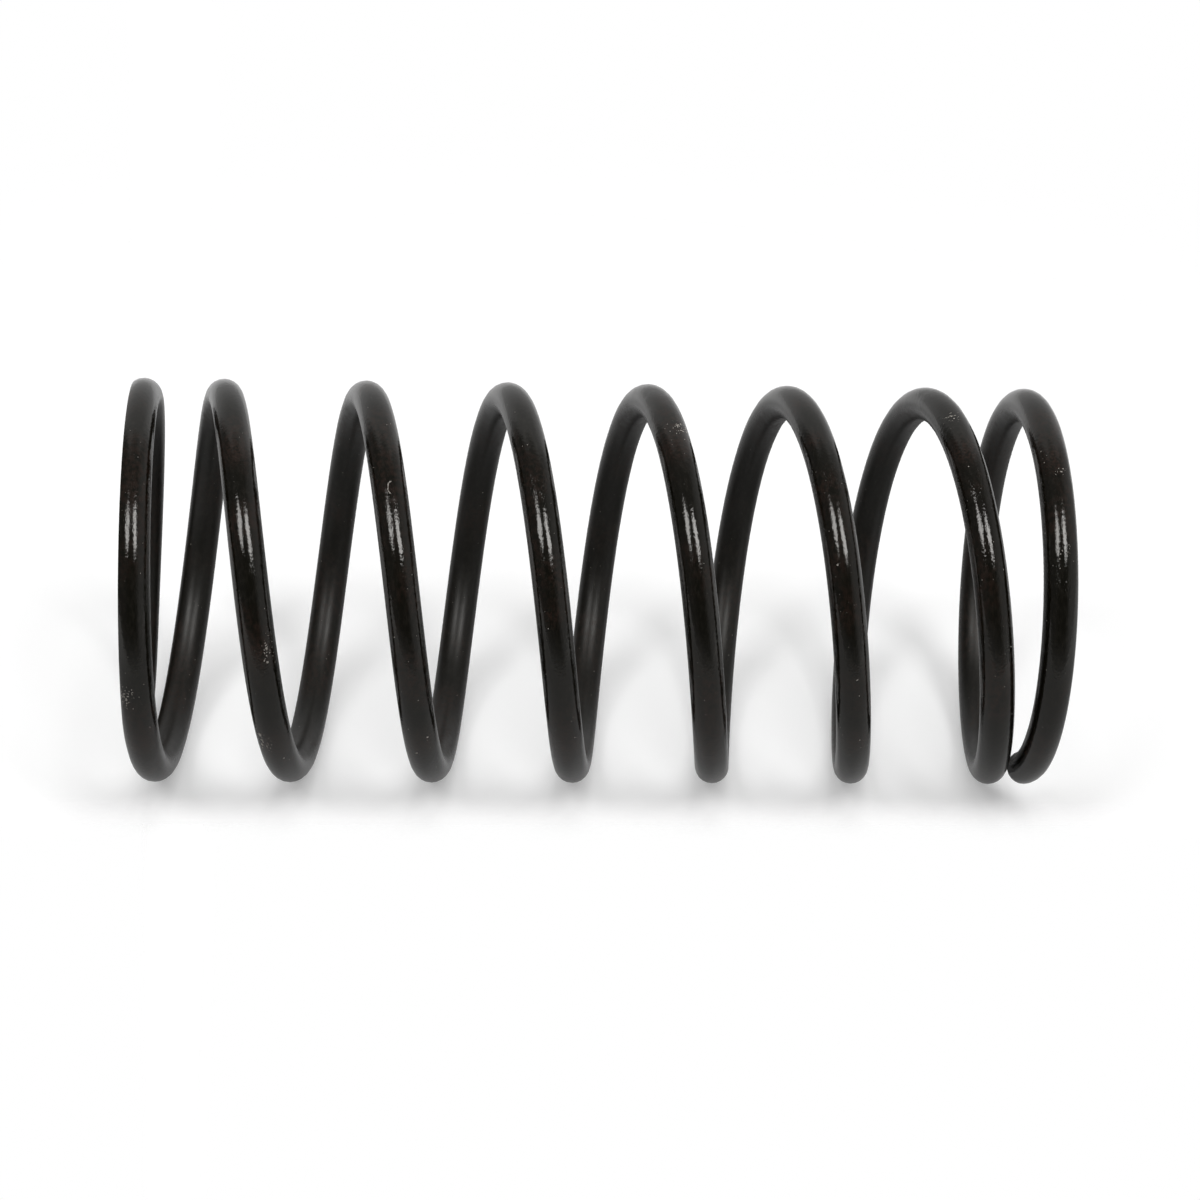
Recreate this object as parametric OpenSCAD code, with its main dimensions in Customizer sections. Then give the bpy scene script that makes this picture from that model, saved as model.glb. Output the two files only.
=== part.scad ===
// Gear selector spring: a right-hand compression spring of round wire, with both ends
// closed and ground flat. It stands on its lower ground end, its axis along +Z, with
// the origin in the middle of that end. All sizes are in millimetres.

/* [Wire and coil] */
// Diameter of the round wire
wire_d = 2.5; // [2:0.05:2.9]
// Outer diameter over the coils
coil_od = 29.7; // [24:0.1:36]
// Free length from ground end to ground end
free_length = 67.2; // [58:0.1:80]
// Turns of wire from tip to tip, counting the closed ones
total_turns = 7.9; // [6.5:0.05:8.1]
// Angle of the lower wire tip about the axis, from +X towards +Y
lower_tip_angle = 16; // [0:1:359]

/* [Lower end] */
// Depth ground off the wire at the lower tip
lower_ground_off = 1.7; // [0.8:0.05:1.8]
// Space between the lower tip and the turn that passes over it
lower_gap = 0.25; // [0.1:0.01:0.6]
// How far the lower tip is pressed down below its own turn
lower_tip_drop = 0.85; // [0:0.05:1]
// Turns over which the pressed tip stays down
lower_drop_turns = 0.12; // [0:0.01:0.2]
// Turns over which the wire then comes up to its turn
lower_lift_turns = 0.3; // [0.2:0.01:0.5]
// Turns from the lower tip to where the pitch starts to open
lower_closed_turns = 0.59; // [0.5:0.01:0.9]
// Turns over which the pitch opens to the full one
lower_opening_turns = 0.62; // [0.4:0.01:0.7]

/* [Upper end] */
// Depth ground off the wire at the upper tip
upper_ground_off = 0.22; // [0.1:0.01:1.8]
// Space between the upper tip and the turn that passes under it
upper_gap = 0.16; // [0.1:0.01:0.6]
// Turns from the upper tip back to where the pitch starts to open
upper_closed_turns = 0.41; // [0.35:0.01:0.9]
// Turns over which the pitch opens to the full one
upper_opening_turns = 0.71; // [0.4:0.01:0.8]

/* [Wire tips] */
// Edge broken off the sheared tips
tip_chamfer = 0.15; // [0.05:0.01:0.4]

/* [Smoothness] */
// Flats around the wire
wire_sides = 16; // [8:2:16]
// Sections of wire in one turn
sections_per_turn = 44; // [24:1:46]

/* [Hidden] */

wire_r = wire_d / 2;
coil_r = coil_od / 2 - wire_r;

// Heights of the wire's middle at its two tips, above the lower ground face
lower_tip_z = wire_r - lower_ground_off;
upper_tip_z = free_length - (wire_r - upper_ground_off);

// Smooth step from 0 to 1 as t goes from 0 to 1, and the area under it up to t
function step(t) = let (s = min(max(t, 0), 1)) s * s * (3 - 2 * s);
function area_under_step(t) = let (s = min(max(t, 0), 1)) s * s * s * (1 - s / 2);

// Turns' worth of full pitch gained after n turns from a tip
function full_turns(n, closed, opening) = opening * area_under_step((n - closed) / opening)
    + max(0, n - closed - opening);

// Turns' worth of full pitch in the first turn from each tip
lower_gain = full_turns(1, lower_closed_turns, lower_opening_turns);
upper_gain = full_turns(1, upper_closed_turns, upper_opening_turns);

// Turns' worth of closed pitch in each end
lower_share = lower_closed_turns + lower_opening_turns / 2;
upper_share = upper_closed_turns + upper_opening_turns / 2;

// The first turn from a tip rises by the wire and its gap. That ties the closed pitch of
// the end to the full pitch, and the full pitch fills what the ends leave of the length.
lower_rise = (wire_d + lower_gap - lower_tip_drop) / (1 - lower_gain);
upper_rise = (wire_d + upper_gap) / (1 - upper_gain);
pitch = (upper_tip_z - lower_tip_z - lower_tip_drop
        - lower_share * lower_rise - upper_share * upper_rise)
    / (total_turns - lower_share / (1 - lower_gain) - upper_share / (1 - upper_gain));
lower_pitch = lower_rise - pitch * lower_gain / (1 - lower_gain);
upper_pitch = upper_rise - pitch * upper_gain / (1 - upper_gain);

// Height of the wire's middle, n turns from the lower tip
function wire_z(n) = let (m = total_turns - n) n < m
    ? lower_tip_z + lower_tip_drop * step((n - lower_drop_turns) / lower_lift_turns)
        + lower_pitch * n
        + (pitch - lower_pitch) * full_turns(n, lower_closed_turns, lower_opening_turns)
    : upper_tip_z - upper_pitch * m
        - (pitch - upper_pitch) * full_turns(m, upper_closed_turns, upper_opening_turns);

// Helix angle of the wire, n turns from the lower tip
slope_step = 0.002;
function wire_lean(n) = atan((wire_z(n + slope_step) - wire_z(n - slope_step))
    / (2 * slope_step * 2 * PI * coil_r));

// Turns that the chamfer of a tip takes up, and the turns at which sections lie
chamfer_turns = tip_chamfer / (2 * PI * coil_r);
spans = ceil(total_turns * sections_per_turn);
stations = concat(
    [0],
    [for (i = [0:spans]) chamfer_turns + (total_turns - 2 * chamfer_turns) * i / spans],
    [total_turns]);
last = len(stations) - 1;

// Ring of points around the wire at station i, drawn in at the very tips
function section(i) = let (
        n = stations[i],
        a = lower_tip_angle + 360 * n,
        lean = wire_lean(n),
        r = i == 0 || i == last ? wire_r - tip_chamfer : wire_r)
    [for (k = [0:wire_sides - 1]) let (
            b = 360 * (k + 0.5) / wire_sides,
            out = coil_r + r * cos(b),
            up = r * sin(b))
        [out * cos(a) + up * sin(lean) * sin(a),
            out * sin(a) - up * sin(lean) * cos(a),
            wire_z(n) + up * cos(lean)]];

module wire() {
    rings = [for (i = [0:last]) section(i)];
    skin = [for (i = [0:last - 1], k = [0:wire_sides - 1]) let (
            p = i * wire_sides + k,
            q = i * wire_sides + (k + 1) % wire_sides)
        each [[p, q, q + wire_sides], [p, q + wire_sides, p + wire_sides]]];
    lower_cap = [for (k = [0:wire_sides - 1]) wire_sides - 1 - k];
    upper_cap = [for (k = [0:wire_sides - 1]) last * wire_sides + k];
    polyhedron(points = [for (ring = rings) each ring],
        faces = concat(skin, [lower_cap, upper_cap]), convexity = 2 * ceil(total_turns));
}

// All that lies between the two ground faces
module ground_length() {
    translate([-coil_od, -coil_od, 0])
        cube([2 * coil_od, 2 * coil_od, free_length]);
}

module coil_spring() {
    color([0.11, 0.1, 0.1])
        intersection() {
            wire();
            ground_length();
        }
}

coil_spring();
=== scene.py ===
import math

import bpy
from mathutils import Matrix, Vector


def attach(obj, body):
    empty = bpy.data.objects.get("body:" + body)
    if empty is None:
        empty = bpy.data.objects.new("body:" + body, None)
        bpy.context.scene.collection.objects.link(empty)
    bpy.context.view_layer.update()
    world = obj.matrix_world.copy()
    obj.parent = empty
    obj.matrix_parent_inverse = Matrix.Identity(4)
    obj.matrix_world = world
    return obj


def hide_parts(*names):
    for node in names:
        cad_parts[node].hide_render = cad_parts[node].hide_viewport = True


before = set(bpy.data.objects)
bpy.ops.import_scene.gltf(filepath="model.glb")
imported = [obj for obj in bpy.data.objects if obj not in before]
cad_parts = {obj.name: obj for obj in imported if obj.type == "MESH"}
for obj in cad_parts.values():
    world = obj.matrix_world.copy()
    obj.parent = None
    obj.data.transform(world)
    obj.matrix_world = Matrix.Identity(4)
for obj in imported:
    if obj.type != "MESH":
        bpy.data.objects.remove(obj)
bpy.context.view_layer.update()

# Sizes of the spring, in metres and turns of wire, as in the part's source
wire_r = 0.00125
coil_r = 0.0136
free_length = 0.0672
total_turns = 7.9
lower_tip_angle = math.radians(16)
lower_ground_off = 0.0017
lower_gap = 0.00025
lower_tip_drop = 0.00085
lower_drop_turns = 0.12
lower_lift_turns = 0.3
lower_closed_turns = 0.59
lower_opening_turns = 0.62
upper_ground_off = 0.00022
upper_gap = 0.00016
upper_closed_turns = 0.41
upper_opening_turns = 0.71
tip_chamfer = 0.00015

# Colours of the finish
coating_black = (0.0027, 0.0023, 0.001, 1)
coating_haze = (0.012, 0.0104, 0.0078, 1)
coating_brown = (0.0175, 0.0088, 0.0058, 1)
coating_tint = (1.0, 0.985, 0.955, 1)
dust_grey = (0.27, 0.25, 0.225, 1)
ground_dark = (0.012, 0.011, 0.01, 1)
ground_bright = (0.05, 0.047, 0.043, 1)

# How finely the wire is drawn: sections in a turn, and a roundness that gives 22 sides around
path_points_per_turn = 96
wire_roundness = 9
tip_bevel_segments = 2
smooth_below = math.radians(35)

# Distances in metres under which two places count as one
same_place = 1e-6
cut_tolerance = 1e-7

# In turns: half the stretch of wire over which its helix angle is taken, and how far past
# a tip a point may lie that still belongs to the wire's end
lean_stretch = 0.002
tip_slack = 0.05


# ---------------------------------------------------------------- the wire's path

def step(t):
    """Smooth step from 0 to 1 as t goes from 0 to 1."""
    s = min(max(t, 0.0), 1.0)
    return s * s * (3 - 2 * s)


def area_under_step(t):
    """What that step adds up to between 0 and t."""
    s = min(max(t, 0.0), 1.0)
    return s ** 3 * (1 - s / 2)


def full_turns(n, closed, opening):
    """Turns' worth of full pitch gained after n turns from a tip."""
    return opening * area_under_step((n - closed) / opening) + max(0.0, n - closed - opening)


# The two ends rise as their gaps ask, and the full pitch fills the rest of the free length
turn_length = 2 * math.pi * coil_r
lower_tip_z = wire_r - lower_ground_off
upper_tip_z = free_length - (wire_r - upper_ground_off)
lower_gain = full_turns(1, lower_closed_turns, lower_opening_turns)
upper_gain = full_turns(1, upper_closed_turns, upper_opening_turns)
lower_share = lower_closed_turns + lower_opening_turns / 2
upper_share = upper_closed_turns + upper_opening_turns / 2
lower_rise = (2 * wire_r + lower_gap - lower_tip_drop) / (1 - lower_gain)
upper_rise = (2 * wire_r + upper_gap) / (1 - upper_gain)
pitch = ((upper_tip_z - lower_tip_z - lower_tip_drop
          - lower_share * lower_rise - upper_share * upper_rise)
         / (total_turns - lower_share / (1 - lower_gain) - upper_share / (1 - upper_gain)))
lower_pitch = lower_rise - pitch * lower_gain / (1 - lower_gain)
upper_pitch = upper_rise - pitch * upper_gain / (1 - upper_gain)


def wire_z(n):
    """Height of the wire's middle, n turns from the lower tip."""
    m = total_turns - n
    if n < m:
        return (lower_tip_z + lower_tip_drop * step((n - lower_drop_turns) / lower_lift_turns)
                + lower_pitch * n
                + (pitch - lower_pitch) * full_turns(n, lower_closed_turns, lower_opening_turns))
    return (upper_tip_z - upper_pitch * m
            - (pitch - upper_pitch) * full_turns(m, upper_closed_turns, upper_opening_turns))


def wire_point(n):
    """The wire's middle, n turns from the lower tip."""
    a = lower_tip_angle + 2 * math.pi * n
    return Vector((coil_r * math.cos(a), coil_r * math.sin(a), wire_z(n)))


def wire_lean(n):
    """Helix angle of the wire, n turns from the lower tip."""
    rise = wire_z(n + lean_stretch) - wire_z(n - lean_stretch)
    return math.atan(rise / (2 * lean_stretch * turn_length))


def straight_place(n, out, up):
    """A point of the wire by its place on the straightened wire: along it, then across it."""
    lean = wire_lean(n)
    return (n * turn_length / math.cos(lean) + up * math.tan(lean), out, up)


def on_skin(n, side):
    """The straightened place of a point on the wire's skin; side is an angle in radians."""
    return straight_place(n, wire_r * math.cos(side), wire_r * math.sin(side))


# ---------------------------------------------------------------- helpers for materials

def new_group(name, inputs, output):
    """A node group with named sockets, and the nodes that hold its inputs and its output."""
    group = bpy.data.node_groups.new(name, "ShaderNodeTree")
    for title, kind, value in inputs:
        socket = group.interface.new_socket(name=title, in_out="INPUT", socket_type=kind)
        if value is not None:
            socket.default_value = value
    group.interface.new_socket(name=output, in_out="OUTPUT", socket_type="NodeSocketFloat")
    return group, group.nodes.new("NodeGroupInput"), group.nodes.new("NodeGroupOutput")


def put(tree, kind, **values):
    """Adds a node and sets its properties."""
    node = tree.nodes.new(kind)
    for name, value in values.items():
        setattr(node, name, value)
    return node


def ramp(tree, source, low, high, out_low=0.0, out_high=1.0):
    """A smooth change from out_low to out_high as source goes from low to high."""
    node = put(tree, "ShaderNodeMapRange", interpolation_type="SMOOTHSTEP")
    tree.links.new(source, node.inputs["Value"])
    node.inputs["From Min"].default_value = low
    node.inputs["From Max"].default_value = high
    node.inputs["To Min"].default_value = out_low
    node.inputs["To Max"].default_value = out_high
    return node.outputs["Result"]


def math_node(tree, operation, a, b=None, clamp=False):
    """A Math node on one or two values, each a socket or a number."""
    node = put(tree, "ShaderNodeMath", operation=operation, use_clamp=clamp)
    for i, v in enumerate((a, b)):
        if v is None:
            continue
        if isinstance(v, (int, float)):
            node.inputs[i].default_value = v
        else:
            tree.links.new(v, node.inputs[i])
    return node.outputs[0]


def mix_colour(tree, factor, a, b):
    """Goes from colour a to colour b with factor, which is a socket."""
    node = put(tree, "ShaderNodeMix", data_type="RGBA")
    for name, v in (("Factor", factor), ("A", a), ("B", b)):
        socket = [x for x in node.inputs if x.name == name and x.enabled][0]
        if isinstance(v, tuple):
            socket.default_value = v
        else:
            tree.links.new(v, socket)
    return [x for x in node.outputs if x.enabled][0]


def vector_node(tree, operation, a, b):
    """A Vector Math node on a socket and a second vector; puts out its one number."""
    node = put(tree, "ShaderNodeVectorMath", operation=operation)
    tree.links.new(a, node.inputs[0])
    node.inputs[1].default_value = b
    return node.outputs["Value"]


def stretched(tree, source, scale):
    """Scales the places that a pattern reads; below 1, it is drawn out along that axis."""
    node = put(tree, "ShaderNodeMapping")
    node.inputs["Scale"].default_value = scale
    tree.links.new(source, node.inputs["Vector"])
    return node.outputs["Vector"]


def noise(tree, vector, scale, detail=2.0, rough=0.5):
    """Soft noise from 0 to 1, of about scale humps a metre."""
    node = put(tree, "ShaderNodeTexNoise")
    tree.links.new(vector, node.inputs["Vector"])
    node.inputs["Scale"].default_value = scale
    node.inputs["Detail"].default_value = detail
    node.inputs["Roughness"].default_value = rough
    return node.outputs["Fac"]


# ---------------------------------------------------------------- the wire's finish

def surface_grain_group():
    """Drawing lines along the wire, with a fine ripple of the coating over them."""
    group, given, result = new_group(
        "drawn_surface",
        [("Place", "NodeSocketVector", None), ("Lines", "NodeSocketFloat", 0.5),
         ("Ripple", "NodeSocketFloat", 0.5)],
        "Height")
    drawn_out = stretched(group, given.outputs["Place"], (0.02, 1, 1))
    lines = noise(group, drawn_out, scale=7000, detail=3.0, rough=0.6)
    ripple = noise(group, given.outputs["Place"], scale=5500, detail=2.0, rough=0.5)
    height = math_node(group, "ADD",
                       math_node(group, "MULTIPLY", lines, given.outputs["Lines"]),
                       math_node(group, "MULTIPLY", ripple, given.outputs["Ripple"]))
    group.links.new(height, result.inputs["Height"])
    return group


def specks_group():
    """Round grains scattered over the coating, one to a cell, in a share of the cells."""
    group, given, result = new_group(
        "specks",
        [("Place", "NodeSocketVector", None), ("Cells per Metre", "NodeSocketFloat", 600.0),
         ("Share", "NodeSocketFloat", 0.1), ("Size", "NodeSocketFloat", 0.06)],
        "Mask")
    cells = put(group, "ShaderNodeTexVoronoi", feature="F1")
    group.links.new(given.outputs["Place"], cells.inputs["Vector"])
    group.links.new(given.outputs["Cells per Metre"], cells.inputs["Scale"])
    parts = put(group, "ShaderNodeSeparateColor")
    group.links.new(cells.outputs["Color"], parts.inputs["Color"])
    kept = math_node(group, "LESS_THAN", parts.outputs["Red"], given.outputs["Share"])
    # grains are between 0.4 and 1.4 of the given size, with a soft rim
    reach = math_node(group, "MULTIPLY", given.outputs["Size"],
                      math_node(group, "ADD", parts.outputs["Green"], 0.4))
    near = ramp(group, math_node(group, "DIVIDE", cells.outputs["Distance"], reach),
                0.6, 1.0, out_low=1.0, out_high=0.0)
    group.links.new(math_node(group, "MULTIPLY", kept, near), result.inputs["Mask"])
    return group


def blotches_group():
    """Large soft patches with a fine break-up, for the brown stain."""
    group, given, result = new_group(
        "blotches",
        [("Place", "NodeSocketVector", None), ("Amount", "NodeSocketFloat", 0.5)],
        "Mask")
    large = noise(group, given.outputs["Place"], scale=170, detail=2.0, rough=0.5)
    fine = noise(group, given.outputs["Place"], scale=2600, detail=4.0, rough=0.65)
    patch = ramp(group, large, 0.42, 0.6)
    broken = ramp(group, fine, 0.42, 0.6)
    stain = math_node(group, "MULTIPLY", patch, broken)
    stain = math_node(group, "MULTIPLY", stain, given.outputs["Amount"])
    group.links.new(stain, result.inputs["Mask"])
    return group


def mark_group():
    """One round mark at a given point, full as far as Core and gone at Edge."""
    group, given, result = new_group(
        "mark",
        [("Place", "NodeSocketVector", None), ("Centre", "NodeSocketVector", None),
         ("Core", "NodeSocketFloat", 0.0), ("Edge", "NodeSocketFloat", 0.0001)],
        "Mask")
    apart = put(group, "ShaderNodeVectorMath", operation="DISTANCE")
    group.links.new(given.outputs["Place"], apart.inputs[0])
    group.links.new(given.outputs["Centre"], apart.inputs[1])
    fall = put(group, "ShaderNodeMapRange", interpolation_type="SMOOTHSTEP")
    group.links.new(apart.outputs["Value"], fall.inputs["Value"])
    group.links.new(given.outputs["Core"], fall.inputs["From Min"])
    group.links.new(given.outputs["Edge"], fall.inputs["From Max"])
    fall.inputs["To Min"].default_value = 1.0
    fall.inputs["To Max"].default_value = 0.0
    group.links.new(fall.outputs["Result"], result.inputs["Mask"])
    return group


grain = surface_grain_group()
specks = specks_group()
blotches = blotches_group()
mark = mark_group()


def use(tree, group, place, **values):
    """Places a node group and sets its inputs; an underscore stands for a space."""
    node = put(tree, "ShaderNodeGroup", node_tree=group)
    tree.links.new(place, node.inputs["Place"])
    for name, value in values.items():
        node.inputs[name.replace("_", " ")].default_value = value
    return node.outputs[0]


def any_mark(tree, place, marks, core):
    """The strongest of several marks, each given by its turn, its side of the wire and radius.

    A mark is full out to core, a share of its radius, and fades from there to its edge.
    """
    most = None
    for turns, side, radius in marks:
        found = use(tree, mark, place, Centre=on_skin(turns, math.radians(side)),
                    Core=radius * core, Edge=radius)
        most = found if most is None else math_node(tree, "MAXIMUM", most, found)
    return most


def shaken_place(tree, place, reach, scale):
    """The same places, each moved by up to reach, so that no mark comes out round."""
    shake = put(tree, "ShaderNodeTexNoise")
    tree.links.new(place, shake.inputs["Vector"])
    shake.inputs["Scale"].default_value = scale
    shake.inputs["Detail"].default_value = 1.0
    shift = put(tree, "ShaderNodeVectorMath", operation="MULTIPLY_ADD")
    tree.links.new(shake.outputs["Color"], shift.inputs[0])
    shift.inputs[1].default_value = (2 * reach, 2 * reach, 2 * reach)
    tree.links.new(place, shift.inputs[2])
    back = put(tree, "ShaderNodeVectorMath", operation="SUBTRACT")
    tree.links.new(shift.outputs["Vector"], back.inputs[0])
    back.inputs[1].default_value = (reach, reach, reach)
    return back.outputs["Vector"]


def fibre(tree, place, turns, side, bow, width, length):
    """A thin fibre that lies on the coating in a bow, an arc of radius bow."""
    bow_middle = on_skin(turns, math.radians(side) + bow / wire_r)
    from_middle = vector_node(tree, "DISTANCE", place, bow_middle)
    off_line = math_node(tree, "ABSOLUTE", math_node(tree, "SUBTRACT", from_middle, bow))
    line = ramp(tree, off_line, width * 0.3, width, out_low=1, out_high=0)
    stretch = any_mark(tree, place, [(turns, side, length / 2)], core=0.85)
    return math_node(tree, "MULTIPLY", line, stretch)


# Marks of use: turns from the lower tip, side of the wire in degrees from its outer side
# towards the upper end, and radius
dust_dots = [(1.83, 24, 0.0001), (1.80, 318, 0.0002), (1.806, 324, 0.00014),
             (1.813, 320, 0.00015), (1.717, 30, 0.00012), (1.728, 27, 0.0001),
             (2.76, 15, 0.00008), (2.80, 30, 0.00008), (2.82, 345, 0.00008),
             (3.70, 336, 0.00008), (5.65, 333, 0.00008), (5.74, 9, 0.00008),
             (5.80, 15, 0.00008)]
chipped_places = [(0.76, 324, 0.0017), (1.72, 30, 0.0013), (1.81, 318, 0.0018),
                  (4.53, 22, 0.0017), (6.51, 349, 0.0013),
                  (7.57, 5, 0.0009), (7.64, 3, 0.0009)]
brown_places = [(0.81, 10, 0.0024), (1.56, 351, 0.0018), (1.72, 0, 0.002),
                (1.81, 350, 0.0024), (2.81, 10, 0.0024), (3.69, 0, 0.0012),
                (3.816, 345, 0.0026), (4.55, 345, 0.0022), (4.822, 357, 0.0026),
                (5.54, 335, 0.0012), (5.806, 6, 0.0022), (6.55, 342, 0.002),
                (7.56, 351, 0.002)]


def stain_mask(tree, place, shaken):
    """Brown stain: broken patches at random, and mottled marks at the given places."""
    patches = use(tree, blotches, place, Amount=0.6)
    mottle = ramp(tree, noise(tree, place, scale=7000, detail=2.0, rough=0.6), 0.42, 0.62)
    marks = math_node(tree, "MULTIPLY", any_mark(tree, shaken, brown_places, core=0.1), mottle)
    return math_node(tree, "MAXIMUM", patches, marks)


def haze_mask(tree, place):
    """A thin dull haze that lies in short smears along the wire."""
    smears = noise(tree, stretched(tree, place, (0.5, 1, 1)), scale=4500, detail=4.0, rough=0.75)
    return ramp(tree, smears, 0.46, 0.66, out_low=0, out_high=0.6)


def dust_mask(tree, place, shaken):
    """Grains at random, single dots, one fibre and the crumbs of chipped places."""
    dust = use(tree, specks, shaken, Cells_per_Metre=1000.0, Share=0.05, Size=0.055)
    dust = math_node(tree, "MAXIMUM", dust, any_mark(tree, shaken, dust_dots, core=0.5))
    thread = fibre(tree, shaken, turns=2.592, side=352, bow=0.0006, width=0.00004, length=0.0011)
    dust = math_node(tree, "MAXIMUM", dust, thread)
    # the nearer to the middle of a chipped place, the more crumbs stand out
    chipped = any_mark(tree, shaken, chipped_places, core=0)
    crumbs = math_node(tree, "ADD", noise(tree, place, scale=8000, detail=0.0),
                       math_node(tree, "MULTIPLY", chipped, 0.24))
    return math_node(tree, "MAXIMUM", dust, ramp(tree, crumbs, 0.86, 0.9))


def inner_side(tree, place):
    """1 on the side of the wire that faces the coil's axis, 0 on the outer side."""
    across = put(tree, "ShaderNodeSeparateXYZ")
    tree.links.new(place, across.inputs[0])
    return ramp(tree, across.outputs["Y"], -0.7 * wire_r, 0.1 * wire_r, out_low=1, out_high=0)


def coating_roughness(tree, place, stain, dust, inner):
    """A gloss that varies a little, duller where it is stained or dusty."""
    film = noise(tree, place, scale=900, detail=2.0, rough=0.6)
    rough = ramp(tree, film, 0.3, 0.7, out_low=0.07, out_high=0.11)
    rough = math_node(tree, "ADD", rough, math_node(tree, "MULTIPLY", stain, 0.14))
    # the inner side is taken as duller, because its highlights are soft in the photograph
    rough = math_node(tree, "ADD", rough, math_node(tree, "MULTIPLY", inner, 0.32))
    return math_node(tree, "ADD", rough, math_node(tree, "MULTIPLY", dust, 0.5), clamp=True)


def coating_relief(tree, place, inner):
    """Drawing lines, ripple, and fine pits in some areas, nearly flat on the inner side."""
    relief = use(tree, grain, place, Lines=0.2, Ripple=1.0)
    pitted = ramp(tree, noise(tree, place, scale=320, detail=1.0), 0.56, 0.7)
    pits = math_node(tree, "MULTIPLY", noise(tree, place, scale=11000, detail=0.0), pitted)
    relief = math_node(tree, "ADD", relief, pits)
    return math_node(tree, "MULTIPLY", relief, ramp(tree, inner, 0, 1, out_low=1, out_high=0.15))


def add_bump(tree, shader, height, depth):
    """Relief in the surface; depth is its full height in metres."""
    bump = put(tree, "ShaderNodeBump")
    bump.inputs["Strength"].default_value = 1.0
    bump.inputs["Distance"].default_value = depth
    tree.links.new(height, bump.inputs["Height"])
    tree.links.new(bump.outputs["Normal"], shader.inputs["Normal"])


def black_coating():
    """Glossy, slightly warm black coating on drawn wire."""
    material = bpy.data.materials.new("black_coating")
    material.use_nodes = True
    tree = material.node_tree
    shader = tree.nodes["Principled BSDF"]
    place = put(tree, "ShaderNodeAttribute", attribute_name="along_wire").outputs["Vector"]
    shaken = shaken_place(tree, place, reach=0.00009, scale=5500)
    stain = stain_mask(tree, place, shaken)
    dust = dust_mask(tree, place, shaken)
    inner = inner_side(tree, place)

    colour = mix_colour(tree, haze_mask(tree, place), coating_black, coating_haze)
    colour = mix_colour(tree, stain, colour, coating_brown)
    colour = mix_colour(tree, dust, colour, dust_grey)
    tree.links.new(colour, shader.inputs["Base Color"])
    tree.links.new(coating_roughness(tree, place, stain, dust, inner),
                   shader.inputs["Roughness"])
    add_bump(tree, shader, coating_relief(tree, place, inner), depth=0.000014)
    shader.inputs["IOR"].default_value = 1.5
    shader.inputs["Specular Tint"].default_value = coating_tint
    return material


def ground_finish():
    """The flat ground ends, blackened over fine grinding marks."""
    material = bpy.data.materials.new("ground_ends")
    material.use_nodes = True
    tree = material.node_tree
    shader = tree.nodes["Principled BSDF"]
    place = put(tree, "ShaderNodeTexCoord").outputs["Object"]
    scratches = noise(tree, stretched(tree, place, (0.03, 1, 1)), scale=5000, detail=3.0,
                      rough=0.6)
    colour = mix_colour(tree, ramp(tree, scratches, 0.35, 0.7), ground_dark, ground_bright)
    tree.links.new(colour, shader.inputs["Base Color"])
    tree.links.new(ramp(tree, scratches, 0.3, 0.7, out_low=0.3, out_high=0.5),
                   shader.inputs["Roughness"])
    add_bump(tree, shader, scratches, depth=0.000006)
    return material


# ---------------------------------------------------------------- the wire

def swept_wire():
    """The round wire along its path, as one closed skin."""
    bpy.ops.object.select_all(action="DESELECT")
    bpy.ops.curve.primitive_nurbs_path_add(location=(0, 0, 0))
    wire = bpy.context.object
    wire.name = "coil_wire"
    points = int(round(total_turns * path_points_per_turn))
    wire.data.splines.clear()
    spline = wire.data.splines.new("POLY")
    spline.points.add(points)
    for i in range(points + 1):
        spline.points[i].co = (*wire_point(total_turns * i / points), 1)
    wire.data.twist_mode = "Z_UP"
    wire.data.bevel_depth = wire_r
    wire.data.bevel_resolution = wire_roundness
    wire.data.use_fill_caps = True
    bpy.ops.object.convert(target="MESH")
    bpy.ops.object.mode_set(mode="EDIT")
    bpy.ops.mesh.select_mode(type="FACE")
    bpy.ops.mesh.select_all(action="SELECT")
    bpy.ops.mesh.remove_doubles(threshold=same_place)
    bpy.ops.mesh.normals_make_consistent(inside=False)
    bpy.ops.object.mode_set(mode="OBJECT")
    return bpy.context.object


def break_tip_edges(mesh):
    """Takes the sharp edge off both sheared tips, the only faces as wide as the wire."""
    half_wire_area = math.pi * wire_r ** 2 / 2
    for v in mesh.vertices:
        v.select = False
    for e in mesh.edges:
        e.select = False
    for f in mesh.polygons:
        f.select = f.area > half_wire_area
    bpy.ops.object.mode_set(mode="EDIT")
    bpy.ops.mesh.bevel(offset=tip_chamfer, segments=tip_bevel_segments, affect="EDGES")
    bpy.ops.object.mode_set(mode="OBJECT")


def grind_ends():
    """Cuts both ends flat and closes the cuts."""
    bpy.ops.object.mode_set(mode="EDIT")
    for height, kept_side in ((0.0, 1), (free_length, -1)):
        bpy.ops.mesh.select_all(action="SELECT")
        bpy.ops.mesh.bisect(plane_co=(0, 0, height), plane_no=(0, 0, kept_side), use_fill=True,
                            clear_inner=True, clear_outer=False, threshold=cut_tolerance)
    bpy.ops.mesh.select_all(action="SELECT")
    bpy.ops.mesh.normals_make_consistent(inside=False)
    bpy.ops.object.mode_set(mode="OBJECT")


def straighten(mesh):
    """Stores each point's place on the straightened wire, for the patterns that follow it."""
    values = []
    for v in mesh.vertices:
        out = math.hypot(v.co.x, v.co.y) - coil_r
        first = (math.atan2(v.co.y, v.co.x) - lower_tip_angle) / (2 * math.pi)
        turns = [first + k for k in range(-1, math.ceil(total_turns) + 2)
                 if -tip_slack < first + k < total_turns + tip_slack]
        n = min(turns, key=lambda t: abs(v.co.z - wire_z(t)))
        values += straight_place(n, out, (v.co.z - wire_z(n)) * math.cos(wire_lean(n)))
    store = mesh.attributes.new("along_wire", "FLOAT_VECTOR", "POINT")
    store.data.foreach_set("vector", values)


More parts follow.
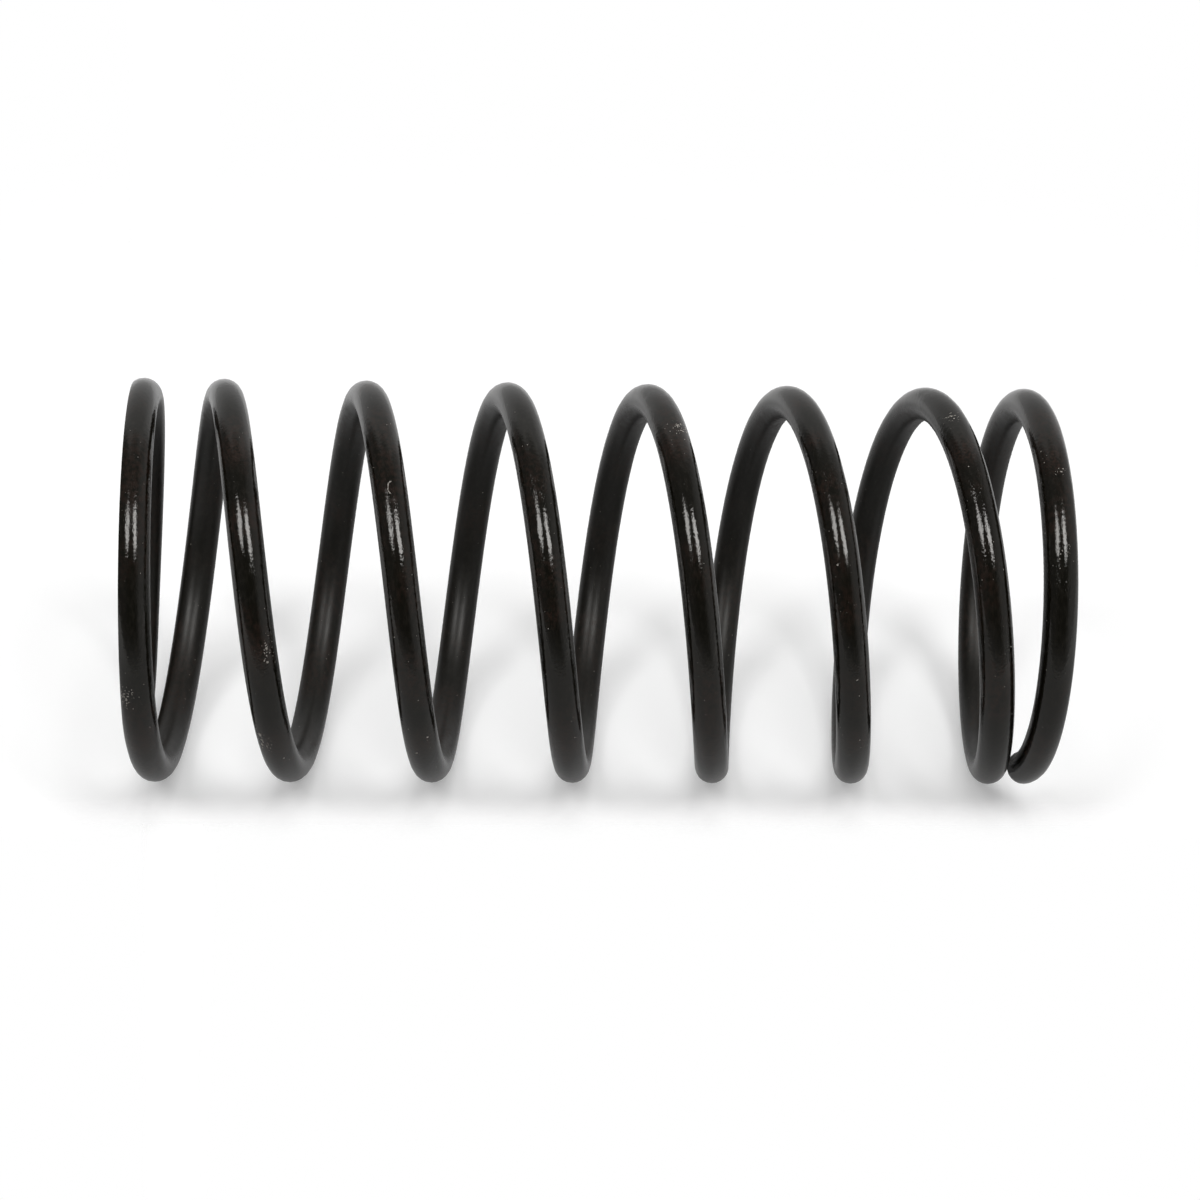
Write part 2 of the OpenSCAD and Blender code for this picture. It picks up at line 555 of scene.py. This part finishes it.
def lies_at(mesh, face, height):
    """Whether a face lies flat at that height."""
    return all(abs(mesh.vertices[i].co.z - height) < same_place for i in face.vertices)


def finish_wire(wire):
    """The coating all over and the ground finish on the flat ends, smooth but for the edges."""
    mesh = wire.data
    mesh.materials.clear()
    mesh.materials.append(black_coating())
    mesh.materials.append(ground_finish())
    for f in mesh.polygons:
        ground = lies_at(mesh, f, 0) or lies_at(mesh, f, free_length)
        f.material_index = 1 if ground else 0
    bpy.ops.object.select_all(action="DESELECT")
    wire.select_set(True)
    bpy.context.view_layer.objects.active = wire
    bpy.ops.object.shade_smooth_by_angle(angle=smooth_below)


wire = swept_wire()
break_tip_edges(wire.data)
grind_ends()
straighten(wire.data)
finish_wire(wire)
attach(wire, "root")
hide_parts("coil_spring")


# ---------------------------------------------------------------- stage, light and camera

outer_r = coil_r + wire_r
middle = Vector((0, 0, free_length / 2))

# In the photograph the spring lies on its side on a pale card; these are the card's directions
card_tilt = math.radians(15)
card_up = Vector((-math.cos(card_tilt), -math.sin(card_tilt), 0))
card_front = Vector((math.sin(card_tilt), -math.cos(card_tilt), 0))
along_axis = Vector((0, 0, 1))

# Distances in metres from the middle of the spring: the card and floor fade out between the
# first two, and the coating mirrors the card paler from the third to the fourth
fade_start, fade_end = 0.06, 0.135
paler_start, paler_end = 0.055, 0.1
# Shares of a pale surface's own glow that the coating mirrors, near the spring and far from it
mirrored_near, mirrored_far = 0.45, 1.35


def grey(level):
    """A colour without a tint, where 1 is white."""
    return (level, level, level, 1)


def seen_through(tree, rays):
    """1 for what the camera sees, straight or through glass."""
    return math_node(tree, "ADD", rays.outputs["Is Camera Ray"],
                     rays.outputs["Is Transmission Ray"], clamp=True)


def pale_surface(name, shade, shade_in_gloss, glow, edge_way, edge_start, edge_end):
    """A pale matt surface that looks white where nothing shades it, and clear from behind.

    The coating mirrors it in shade_in_gloss instead. Away from the spring it fades into
    the white room, and towards edge_way it does so from edge_start to edge_end.
    """
    material = bpy.data.materials.new(name)
    material.use_nodes = True
    tree = material.node_tree
    tree.nodes.clear()
    out = put(tree, "ShaderNodeOutputMaterial")
    rays = put(tree, "ShaderNodeLightPath")
    matt = put(tree, "ShaderNodeBsdfDiffuse")
    tree.links.new(mix_colour(tree, rays.outputs["Is Glossy Ray"], grey(shade),
                              grey(shade_in_gloss)),
                   matt.inputs["Color"])
    light = put(tree, "ShaderNodeEmission")
    light.inputs["Color"].default_value = grey(1)
    where = put(tree, "ShaderNodeTexCoord").outputs["Object"]
    away = vector_node(tree, "DISTANCE", where, middle)
    mirrored = math_node(tree, "MULTIPLY", rays.outputs["Is Glossy Ray"],
                         ramp(tree, away, paler_start, paler_end, mirrored_near, mirrored_far))
    share = math_node(tree, "ADD", seen_through(tree, rays), mirrored)
    tree.links.new(math_node(tree, "MULTIPLY", share, glow), light.inputs["Strength"])
    both = put(tree, "ShaderNodeAddShader")
    tree.links.new(matt.outputs[0], both.inputs[0])
    tree.links.new(light.outputs[0], both.inputs[1])

    outwards = vector_node(tree, "DOT_PRODUCT", where, edge_way)
    faded = math_node(tree, "MAXIMUM", ramp(tree, away, fade_start, fade_end),
                      ramp(tree, outwards, edge_start, edge_end))
    faded = math_node(tree, "MULTIPLY", faded, rays.outputs["Is Camera Ray"])
    hidden = math_node(tree, "MAXIMUM", faded,
                       put(tree, "ShaderNodeNewGeometry").outputs["Backfacing"])
    clear = put(tree, "ShaderNodeBsdfTransparent")
    shown = put(tree, "ShaderNodeMixShader")
    tree.links.new(hidden, shown.inputs[0])
    tree.links.new(both.outputs[0], shown.inputs[1])
    tree.links.new(clear.outputs[0], shown.inputs[2])
    tree.links.new(shown.outputs[0], out.inputs["Surface"])
    return material


def flat_sheet(name, corners, material):
    """A four-sided sheet; its front is the side from which the corners run anticlockwise."""
    bpy.ops.mesh.primitive_plane_add(size=1, location=(0, 0, 0))
    sheet = bpy.context.object
    sheet.name = name
    # a new plane's corners run row by row, not round its edge
    for v, corner in zip(sheet.data.vertices, (corners[0], corners[1], corners[3], corners[2])):
        v.co = corner
    sheet.data.materials.append(material)
    return sheet


# How far the card reaches from where the spring's lower end touches it, and half the floor
card_near, card_far, card_left, card_right = 0.055, 0.32, 0.14, 0.4
floor_half = 0.6


def on_card(towards_front, along):
    """A place on the card, by its distances from the line where the spring touches it."""
    return card_up * -outer_r + card_front * towards_front + along_axis * along


# The card fades out in front of the spring. The floor that the part stands on is left out in
# front of the spring's axis, and fades out towards that edge.
flat_sheet("backdrop",
           [on_card(card_near, -card_left), on_card(card_near, card_right),
            on_card(-card_far, card_right), on_card(-card_far, -card_left)],
           pale_surface("pale_backdrop", shade=0.73, shade_in_gloss=0.28, glow=0.3,
                        edge_way=card_front, edge_start=0.006, edge_end=0.0125))
floor = flat_sheet("floor",
                   [(-floor_half, 0, 0), (floor_half, 0, 0),
                    (floor_half, floor_half, 0), (-floor_half, floor_half, 0)],
                   pale_surface("pale_floor", shade=0.6, shade_in_gloss=0.6, glow=0.74,
                                edge_way=(0, -1, 0), edge_start=-0.014, edge_end=0))
floor.visible_shadow = False
floor.visible_glossy = False
floor.visible_diffuse = False


def direction(azimuth, elevation):
    """Unit vector from the spring, by the card: azimuth from its front towards +Z."""
    a, e = math.radians(azimuth), math.radians(elevation)
    return (card_up * math.sin(e)
            + (card_front * math.cos(a) + along_axis * math.sin(a)) * math.cos(e))


def soft_panel(name, azimuth, elevation, width, height, brightness):
    """A square-edged soft light one metre away; width and height are in metres.

    Its brightness is what the camera would see of it, where 1 is white.
    """
    data = bpy.data.lights.new(name, "AREA")
    data.shape = "RECTANGLE"
    data.size, data.size_y = width, height
    data.energy = brightness * math.pi * width * height
    lamp = bpy.data.objects.new(name, data)
    bpy.context.scene.collection.objects.link(lamp)
    back = direction(azimuth, elevation)
    side = card_up.cross(back).normalized()
    up = back.cross(side)
    lamp.matrix_world = Matrix.Translation(middle + back) @ Matrix(
        (side, up, back)).transposed().to_4x4()
    lamp.visible_camera = False
    return lamp


soft_panel("left_panel", azimuth=-45.5, elevation=51, width=0.33, height=0.38, brightness=8.2)
soft_panel("right_panel", azimuth=32, elevation=54.5, width=0.31, height=0.41, brightness=9.4)
overhead = soft_panel("overhead_light", azimuth=0, elevation=84, width=0.42, height=0.42,
                      brightness=5.4)
overhead.visible_glossy = False


# Light levels of the room, where 1 is white
dim_room, pale_room = 0.08, 0.45


def soft_room():
    """World light: dim in front and to the left, paler to the right, above, behind and below.

    The camera sees it white.
    """
    world = bpy.data.worlds.new("soft_room")
    bpy.context.scene.world = world
    world.use_nodes = True
    tree = world.node_tree
    tree.nodes.clear()
    out = put(tree, "ShaderNodeOutputWorld")
    room = put(tree, "ShaderNodeBackground")
    room.inputs["Color"].default_value = grey(1)
    where = put(tree, "ShaderNodeTexCoord").outputs["Generated"]
    up = vector_node(tree, "DOT_PRODUCT", where, card_up)
    front = vector_node(tree, "DOT_PRODUCT", where, card_front)
    right = vector_node(tree, "DOT_PRODUCT", where, along_axis)

    # to the right, a little at the far left, and above
    level = ramp(tree, right, 0.35, 0.85, dim_room, pale_room)
    level = math_node(tree, "ADD", level,
                      ramp(tree, right, -0.8, -0.3, out_low=0.05, out_high=0))
    level = math_node(tree, "ADD", level,
                      ramp(tree, up, 0.55, 0.92, out_low=0, out_high=0.09))
    # behind, less towards both sides and straight above
    aside = math_node(tree, "MULTIPLY", math_node(tree, "POWER", right, 2.0), 1.3)
    behind = math_node(tree, "SUBTRACT", math_node(tree, "MULTIPLY", front, -1.0), aside)
    behind = math_node(tree, "MULTIPLY",
                       ramp(tree, behind, -0.1, 0.3, out_low=0, out_high=0.42),
                       ramp(tree, up, 0.8, 0.95, out_low=1, out_high=0.2))
    level = math_node(tree, "ADD", level, behind)
    # below, where the card goes on outside the picture
    level = math_node(tree, "MAXIMUM", level,
                      ramp(tree, up, -0.55, 0.05, pale_room, dim_room))

    shown = seen_through(tree, put(tree, "ShaderNodeLightPath"))
    tree.links.new(math_node(tree, "MAXIMUM", shown, level), room.inputs["Strength"])
    tree.links.new(room.outputs[0], out.inputs["Surface"])


soft_room()

# The photograph's viewpoint: the spring lies across the picture, its upper end to the right.
# Lens and film width are in millimetres.
camera_place = Vector((-0.056517, -0.217933, 0.017525))
camera_aim = Vector((0.00129, 0, 0.03442))
camera_roll = math.radians(-1.546)
camera_lens, film_width = 90.95, 36
picture_up = Vector((-1, 0, 0))


def photo_camera():
    """The camera at that viewpoint."""
    data = bpy.data.cameras.new("camera")
    data.lens = camera_lens
    data.sensor_width = film_width
    data.clip_start, data.clip_end = 0.01, 10
    camera = bpy.data.objects.new("camera", data)
    bpy.context.scene.collection.objects.link(camera)
    back = (camera_place - camera_aim).normalized()
    side = picture_up.cross(back).normalized()
    turned = Matrix((side, back.cross(side), back)).transposed()
    turned = turned @ Matrix.Rotation(-camera_roll, 3, "Z")
    camera.matrix_world = Matrix.Translation(camera_place) @ turned.to_4x4()
    bpy.context.scene.camera = camera


photo_camera()
bpy.context.scene.view_settings.view_transform = "Standard"
